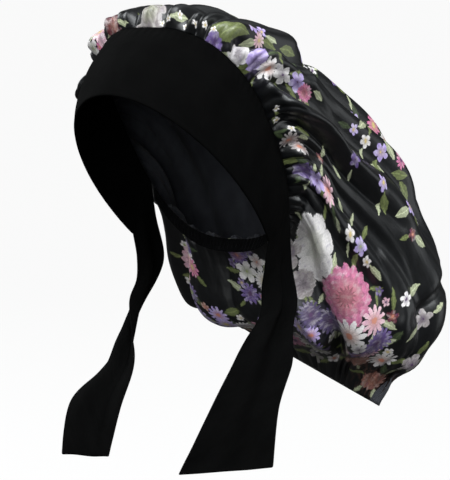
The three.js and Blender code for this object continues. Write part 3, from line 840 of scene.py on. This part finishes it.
class Graph:
    """Short ways to add nodes to a material."""

    def __init__(self, name):
        self.material = bpy.data.materials.new(name)
        self.material.use_nodes = True
        self.tree = self.material.node_tree
        self.shader = self.tree.nodes["Principled BSDF"]

    def node(self, kind, inputs, **settings):
        node = self.tree.nodes.new(kind)
        for key, value in settings.items():
            setattr(node, key, value)
        self.connect(node, inputs)
        return node

    def connect(self, node, inputs):
        for socket, value in inputs.items():
            if isinstance(value, Value):
                self.tree.links.new(value.socket, node.inputs[socket])
            else:
                node.inputs[socket].default_value = value

    def result(self, kind, inputs, output=0, **settings):
        return Value(self, self.node(kind, inputs, **settings).outputs[output])

    def math(self, operation, *values):
        return self.result("ShaderNodeMath", dict(enumerate(values)), operation=operation)

    def vector(self, operation, *values):
        return self.result("ShaderNodeVectorMath", dict(enumerate(values)), operation=operation)

    def length(self, x, y):
        flat = self.result("ShaderNodeCombineXYZ", {0: x, 1: y})
        return self.result("ShaderNodeVectorMath", {0: flat}, "Value", operation="LENGTH")

    def parts(self, vector):
        return [Value(self, part) for part in self.node("ShaderNodeSeparateXYZ", {0: vector}).outputs]

    def attribute(self, name):
        return self.result("ShaderNodeAttribute", {}, "Vector", attribute_name=name)

    def noise(self, vector, scale, detail=2.0):
        inputs = {"Vector": vector, "Scale": scale, "Detail": detail}
        return self.result("ShaderNodeTexNoise", inputs)

    def stretched_noise(self, vector, scales, detail=2.0):
        return self.noise(self.vector("MULTIPLY", vector, scales), 1.0, detail)

    def ramp(self, value, low, high, start=0.0, end=1.0):
        inputs = {0: value, 1: low, 2: high, 3: start, 4: end}
        return self.result("ShaderNodeMapRange", inputs, interpolation_type="SMOOTHSTEP")

    def mix(self, factor, below, above):
        return self.result("ShaderNodeMix", {0: factor, 6: below, 7: above}, 2, data_type="RGBA")

    def tinted(self, colour, factor):
        """A colour times a number."""
        return self.result("ShaderNodeVectorMath", {0: colour, 3: factor}, operation="SCALE")

    def bump(self, height, distance, **below):
        return self.result("ShaderNodeBump", {"Height": height, "Distance": distance, **below})


def flower(graph, name, under, wobble):
    """Draws a layer of flowers in polar coordinates: scalloped petals, streaks and a heart."""
    x, y, radius = graph.parts(graph.attribute(f"{name}_place"))
    count, gap, turn = graph.parts(graph.attribute(f"{name}_form"))
    heart_share, bluntness, fringe = graph.parts(graph.attribute(f"{name}_look"))
    x, y = x + wobble[0], y + wobble[1]
    reach = graph.length(x, y) / graph.math("MAXIMUM", radius, LEAST_RADIUS)
    angle = graph.math("ARCTAN2", y, x) + turn
    lobe = graph.math("ABSOLUTE", graph.math("COSINE", angle * (count * 0.5)))
    lobe = graph.math("POWER", lobe, bluntness)
    edge = gap + (1.0 - gap) * lobe - fringe * (wobble[2] * 0.5)
    depth = (edge - reach) * radius
    inside = graph.ramp(depth, -0.7, 0.6) * graph.math("GREATER_THAN", radius, LEAST_RADIUS)
    rings = graph.math("FRACT", reach * 3.0 + lobe * 0.4)
    shade = graph.ramp(reach, 0.0, 0.6, 0.6, 0.86) + lobe * 0.22 - fringe * (rings * 0.9)
    shade = shade * graph.ramp(wobble[2], 0.2, 0.8, 0.8, 1.15)
    blush = graph.ramp(reach, 0.15, 0.75, 0.4, 0.0)
    washed = graph.ramp(wobble[3], 0.42, 0.72, 0.0, 0.45)
    tint = graph.mix(washed, graph.attribute(f"{name}_petals"), (*PETAL_COLOURS["white"], 1))
    tint = graph.mix(graph.ramp(wobble[3], 0.25, 0.45, 0.35, 0.0), tint, (*PETAL_COLOURS["violet"], 1))
    tint = graph.mix(blush, tint, graph.attribute(f"{name}_heart"))
    rim = graph.ramp(depth, 0.0, 1.6, 1.18, 1.0)
    petals = graph.tinted(tint, shade * rim)
    heart = graph.ramp((heart_share - reach) * radius, -0.5, 0.3)
    heart = heart * graph.math("GREATER_THAN", heart_share, LEAST_HEART)
    return graph.mix(inside, under, graph.mix(heart, petals, graph.attribute(f"{name}_heart")))


def leaf(graph, name, under, wobble):
    """Draws a layer of pointed leaves with a pale midrib."""
    x, y, half = graph.parts(graph.attribute(f"{name}_place"))
    angle, width, _ = graph.parts(graph.attribute(f"{name}_form"))
    x, y = x + wobble[0], y + wobble[1]
    cosine, sine = graph.math("COSINE", angle), graph.math("SINE", angle)
    along = x * cosine + y * sine
    across = graph.math("ABSOLUTE", y * cosine - x * sine)
    share = along / graph.math("MAXIMUM", half, LEAST_RADIUS)
    swell = 1.0 - share * share
    depth = half * width * swell - across
    inside = graph.ramp(depth, -0.3, 0.3) * graph.math("GREATER_THAN", half, LEAST_RADIUS)
    rib = graph.ramp(across, 0.15, 0.7, 1.35, 0.85)
    shade = rib * graph.ramp(wobble[2], 0.2, 0.8, 0.65, 1.2)
    return graph.mix(inside, under, graph.tinted(graph.attribute(f"{name}_tone"), shade))


def satin_material():
    graph = Graph("printed satin")
    flat = graph.attribute("flat")
    wide = graph.stretched_noise(flat, (0.11, 0.11, 0))
    # What the motifs share: a shift in x and in y, fine streaks and wide patches
    wobbles = []
    for shift in (0.0, 40.0):
        moved = graph.vector("ADD", flat, (shift, shift, 0.0))
        wobbles.append((graph.noise(moved, 0.25, 1.0) - 0.5) * 3.0)
    wobbles.append(graph.noise(flat, 0.55, 3.0))
    wobbles.append(graph.stretched_noise(flat, (0.16, 0.16, 0)))
    colour = graph.mix(graph.ramp(wide, 0.3, 0.7), (*SATIN_BLACK, 1), (*SATIN_SOOT, 1))
    patches = graph.ramp(wobbles[3], 0.44, 0.62) * graph.ramp(wobbles[2], 0.3, 0.6, 0.4, 1.0)
    colour = graph.vector("ADD", colour, graph.tinted(graph.attribute("ground"), patches))
    for k in range(LEAF_LAYERS):
        colour = leaf(graph, f"leaf{k}", colour, wobbles)
    for k in reversed(range(FLOWER_LAYERS)):
        colour = flower(graph, f"flower{k}", colour, wobbles)
    weave = graph.stretched_noise(flat, (1.2, 4.0, 0), 1.0)
    ripples = graph.stretched_noise(flat, (0.07, 0.018, 0))
    normal = graph.bump(ripples, SATIN.ripples, Normal=graph.bump(weave, SATIN.weave))
    graph.connect(graph.shader, {
        "Base Color": colour,
        "Roughness": graph.ramp(weave, 0.3, 0.7, *SATIN.roughness),
        "Specular IOR Level": SATIN.specular,
        "Normal": normal,
    })
    return graph.material


def plain_cloth(name, colour, roughness, grain, bump, sheen):
    """Jersey, elastic or the satin's dull back: a fine grain on the flat places."""
    graph = Graph(name)
    flat = graph.attribute("flat")
    knit = graph.stretched_noise(flat, grain)
    soft = graph.stretched_noise(flat, (0.05, 0.05, 0))
    shade = graph.ramp(knit, 0.3, 0.7, 0.75, 1.2) * graph.ramp(soft, 0.3, 0.7, 0.85, 1.15)
    base = graph.result("ShaderNodeRGB", {})
    base.socket.default_value = (*colour, 1)
    graph.connect(graph.shader, {
        "Base Color": graph.tinted(base, shade),
        "Roughness": graph.ramp(knit, 0.3, 0.7, roughness - 0.06, roughness),
        "Specular IOR Level": 0.03,
        "Sheen Weight": sheen,
        "Sheen Roughness": 0.5,
        "Normal": graph.bump(soft, 0.0015, Normal=graph.bump(knit, bump)),
    })
    return graph.material


# The pieces

BAG_ROWS, BAG_COLUMNS = 100, 480
BAG_CUT_WIDTH = 900
COARSE_COLUMNS = 108  # the CAD model's, which settle where the band ends
BAND_ROWS, BAND_COLUMNS = 28, 200
CASING_ROWS, CASING_COLUMNS = 10, 260
TIE_ROWS, TIE_COLUMNS = 84, 26


def make_bag():
    grid, along = bag_surface(BAG_ROWS, BAG_COLUMNS)
    bag = mesh_object("bonnet_bag", grid, True)
    cloth = Cloth(grid, along)
    corner_values(bag, "flat", cloth.cut_places())
    flowers, leaves = print_layers(cloth)
    corner_values(bag, "ground", dusky_ground(cloth))
    for kind, layers in (("flower", flowers), ("leaf", leaves)):
        for k, layer in enumerate(layers):
            layer.store(bag, f"{kind}{k}")
    bag.data.materials.append(satin_material())
    back = plain_cloth("satin back", linear("3c3d42"), 0.6, grain=(1.5, 3, 0), bump=0.0001, sheen=0.1)
    bag.data.materials.append(back)
    thicken(bag, SATIN_WALL).material_offset = 1
    return bag


def shares_down(rows):
    return np.linspace(0, 1, rows + 1)[:, None, None]


def from_opening(side, up, out):
    point = OPENING_CENTRE + up[..., None] * OPENING_UP + out[..., None] * OPENING_OUT
    point[..., 0] += side
    return point


def seam_ring():
    """The bag's bare first ring, and how many of its columns to each side of the top the band carries."""
    ring = bare_ring(0, COARSE_COLUMNS)
    up = (ring - OPENING_CENTRE) @ OPENING_UP
    ends = int(np.argmax(up[1:] <= BAND_END.seam_up))
    return ring, ends


def face_edge(count):
    """The band's free edge over the face, from one end to the other."""
    end_angle = math.acos((BAND_END.face_up - FACE_EDGE.middle) / FACE_EDGE.half_height)
    angle = np.linspace(-end_angle, end_angle, FINE_STEPS)
    up = FACE_EDGE.middle + FACE_EDGE.half_height * np.cos(angle)
    out = FACE_EDGE.out_at_middle + FACE_EDGE.slope * up
    return spread_evenly(from_opening(FACE_EDGE.half_width * np.sin(angle), up, out), count)


def band_grid(rows, columns):
    ring, ends = seam_ring()
    seam = spread_evenly(ring[np.arange(-ends, ends + 1)], columns + 1)
    face = face_edge(columns + 1)
    share = shares_down(rows)
    flat = face + (seam - face) * share
    return flat + BAND_CROWN * np.sin(np.pi * share) * normals_of(flat, False)


def soft_waves(grid, seed, waves):
    random = np.random.default_rng(seed)
    across, down = flat_lengths(grid, False)
    height = np.zeros(across.shape)
    for wave_across, wave_along, size in waves:
        phase = random.uniform(0, TURN, 2)
        bend = WAVE_BEND.size * np.sin(TURN * down / WAVE_BEND.length + phase[1])
        height += size * np.sin(TURN * (across / wave_across + down / wave_along) + phase[0] + bend)
    return height[..., None]


def make_band():
    grid = band_grid(BAND_ROWS, BAND_COLUMNS)
    share = shares_down(BAND_ROWS)
    waves = soft_waves(grid, BAND_SEED, BAND_WAVES)
    columns = np.linspace(0, 1, BAND_COLUMNS + 1)[None, :, None]
    pucker = SEAM_PUCKERS.height * np.sin(TURN * SEAM_PUCKERS.count * columns)
    seam_side = smooth_step(0.8, 0.96, share) * (1 - smooth_step(0.96, 1, share))
    free_side = smooth_step(0, 0.2, share) * (1 - smooth_step(0.9, 1, share))
    grid = grid + normals_of(grid, False) * (waves * free_side + pucker * seam_side)
    return strip("bonnet_headband", grid, jersey, BAND_WALL)


def make_casing():
    ring, ends = seam_ring()
    upper = spread_evenly(ring[ends:COARSE_COLUMNS - ends + 1], CASING_COLUMNS + 1)
    upper = spread_evenly(upper, CASING_COLUMNS + 1, CASING_END_GAP)
    lower = upper * np.array([CASING_TAPER, 1, 1]) + CASING_DROP
    share = shares_down(CASING_ROWS)
    grid = upper + (lower - upper) * share
    columns = np.linspace(0, 1, CASING_COLUMNS + 1)[None, :, None]
    uneven = CASING_RIBS.uneven * np.sin(TURN * CASING_RIBS.turns * columns)
    ribs = CASING_RIBS.height * np.sin(TURN * CASING_RIBS.count * columns + uneven)
    grid = grid + normals_of(grid, False) * ribs * np.sin(np.pi * (0.1 + 0.8 * share))
    return strip("bonnet_nape_casing", grid, elastic, CASING_WALL - CASING_RIBS.room)


def tie_grid(table, end, rows, columns):
    """A tie's mid-surface, from one end of the band to its free end."""
    shares = np.linspace(0, 1, columns + 1)
    start = np.stack([np.interp(shares, np.linspace(0, 1, len(end)), end[:, k]) for k in range(3)], axis=1)
    front, back = start[0], start[-1]
    sections = np.array([[*front, *back, 0]] + [[*front, *back, wave] for front, back, wave in table])
    grid, heights = [], []
    for place in np.linspace(0, len(sections) - 1, rows + 1):
        k = min(len(sections) - 2, int(place))
        section = spline(sections, k, place - k)
        edges = section[:3] + (section[3:6] - section[:3]) * shares[:, None]
        crown = start - (front + (back - front) * shares[:, None])
        grid.append(edges + crown * (1 - smooth_step(0, 1, place)))
        heights.append(section[6])
    grid = np.array(grid)
    ripple = np.sin(TURN * TIE_RIPPLES.across * shares + TIE_RIPPLES.start)
    return grid + normals_of(grid, False) * (np.array(heights)[:, None] * ripple)[..., None]


def make_tie(name, table, end, seed):
    grid = tie_grid(table, end, TIE_ROWS, TIE_COLUMNS)
    share = shares_down(TIE_ROWS)
    waves = soft_waves(grid, seed, TIE_WAVES)
    free = smooth_step(0.05, 0.3, share) * (1 - 0.6 * smooth_step(0.9, 1, share))
    hem = smooth_step(TIE_HEM.begin, TIE_HEM.full, share) - smooth_step(0.985, 1, share)
    grid = grid + normals_of(grid, False) * (waves * free + TIE_HEM.height * hem)
    grid[0] += TIE_LAP * unit(grid[0] - grid[1])
    return strip(name, grid, jersey, TIE_WALL)


jersey = plain_cloth("black jersey", linear("040404"), 0.95, grain=(2.2, 1.3, 0), bump=0.00012, sheen=0.0)
elastic = plain_cloth("black elastic", linear("0a0a0b"), 0.7, grain=(1.2, 3.5, 0), bump=0.0002, sheen=0.02)
edge = band_grid(4, BAND_COLUMNS)
bag = make_bag()
band = make_band()
casing = make_casing()
left_tie = make_tie("bonnet_tie_left", LEFT_TIE, edge[:, -1], seed=11)
right_tie = make_tie("bonnet_tie_right", RIGHT_TIE, edge[:, 0], seed=12)

PIECES = [
    (bag, "satin_bag", "satin"),
    (band, "headband", "jersey"),
    (casing, "nape_casing", "casing"),
    (left_tie, "tie_left", "jersey"),
    (right_tie, "tie_right", "jersey"),
]
for piece, node, slot in PIECES:
    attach(piece, "root")
    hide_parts(node)


# Camera, floor and light

def facing_target(name, data, place):
    """A camera or a lamp that looks at the target from its azimuth, elevation and distance."""
    azimuth, elevation = math.radians(place.azimuth), math.radians(place.elevation)
    away = Vector((
        math.sin(azimuth) * math.cos(elevation),
        -math.cos(azimuth) * math.cos(elevation),
        math.sin(elevation),
    ))
    thing = bpy.data.objects.new(name, data)
    bpy.context.collection.objects.link(thing)
    thing.location = TARGET + away * place.distance
    thing.rotation_euler = away.to_track_quat("Z", "Y").to_euler()
    return thing


camera_data = bpy.data.cameras.new("camera")
camera_data.sensor_width = 36
camera_data.lens = camera_data.sensor_width * PIXELS_PER_METRE * CAMERA.distance / max(PHOTO)
bpy.context.scene.camera = facing_target("camera", camera_data, CAMERA)

STUDIO_RADIUS, STUDIO_HEIGHT, STUDIO_CURVE = 6000, 9000, 2500  # millimetres
STUDIO_GLOW = 0.93
ROOM_LIGHT = 0.07


def make_floor():
    """A pale floor that curves up into a round studio wall, so that no horizon shows."""
    angle = np.linspace(0, np.pi / 2, 12)
    radius = STUDIO_RADIUS - STUDIO_CURVE * (1 - np.sin(angle))
    rise = STUDIO_CURVE * (1 - np.cos(angle))
    radius = np.concatenate([[1], radius, radius[::-1], [1]])
    height = np.concatenate([[0], rise, STUDIO_HEIGHT - rise[::-1], [STUDIO_HEIGHT]]) + FLOOR_HEIGHT / MM
    turn = np.linspace(0, TURN, 97)[:-1]
    height = np.repeat(height[:, None], len(turn), axis=1)
    grid = np.stack([np.outer(radius, np.cos(turn)), np.outer(radius, np.sin(turn)), height], axis=2)
    floor = mesh_object("floor", grid, True)
    pale = Graph("pale floor")
    pale.connect(pale.shader, {
        "Base Color": (0.05, 0.05, 0.05, 1),
        "Roughness": 1.0,
        "Specular IOR Level": 0.0,
        "Emission Color": (1, 1, 1, 1),
        "Emission Strength": STUDIO_GLOW,
    })
    floor.data.materials.append(pale.material)
    floor.visible_diffuse = floor.visible_glossy = floor.visible_shadow = False
    return floor


make_floor()
world = bpy.data.worlds.new("studio")
world.use_nodes = True
room_light = world.node_tree.nodes["Background"].inputs
room_light["Color"].default_value = (1, 1, 1, 1)
room_light["Strength"].default_value = ROOM_LIGHT
bpy.context.scene.world = world
bpy.context.scene.view_settings.view_transform = "Standard"

LAMPS = rows_of("azimuth elevation distance size watts", [
    (60, 44, 3.0, 2.0, 140),
    (122, -8, 3.0, 2.0, 20),
    (140, 58, 3.0, 2.4, 14),
    (0, 50, 3.0, 2.0, 62),
    (22, 12, 3.2, 1.8, 45),
    (280, 30, 3.0, 1.8, 70),
])
LAMP_COLOUR = (0.94, 0.98, 1.0)
for number, lamp in enumerate(LAMPS):
    light_data = bpy.data.lights.new(f"lamp{number}", "AREA")
    light_data.size, light_data.energy = lamp.size, lamp.watts
    light_data.color = LAMP_COLOUR
    facing_target(f"lamp{number}", light_data, lamp).visible_camera = False
